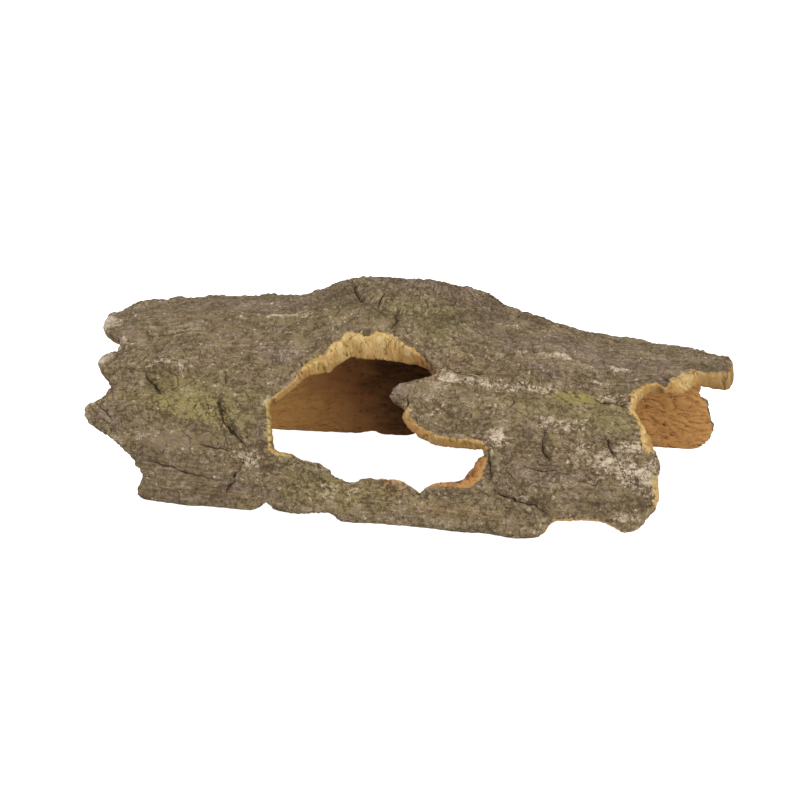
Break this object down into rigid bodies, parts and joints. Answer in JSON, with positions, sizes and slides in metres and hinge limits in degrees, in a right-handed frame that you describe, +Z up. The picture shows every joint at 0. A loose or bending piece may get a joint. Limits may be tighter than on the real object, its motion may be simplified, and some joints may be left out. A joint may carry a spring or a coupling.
{
  "type": "bark reptile hide",
  "caption": "Stiff sheet of bark curved like half a hollow log, open at both ends and below, with a broken entrance hole in its front wall.",
  "frame": {"origin": "on the ground, under the middle of the hide's box", "axes": "+X along the log, from the ragged left end to the end with the roof's tip; +Y from the wall with the hole to the unbroken wall; +Z up"},
  "size_m": [0.291, 0.1388, 0.0941],
  "materials": {
    "bark": "rough, dry bark"
  },
  "bodies": {
    "root": {"bark_hide": "bark"}
  },
  "joints": []
}
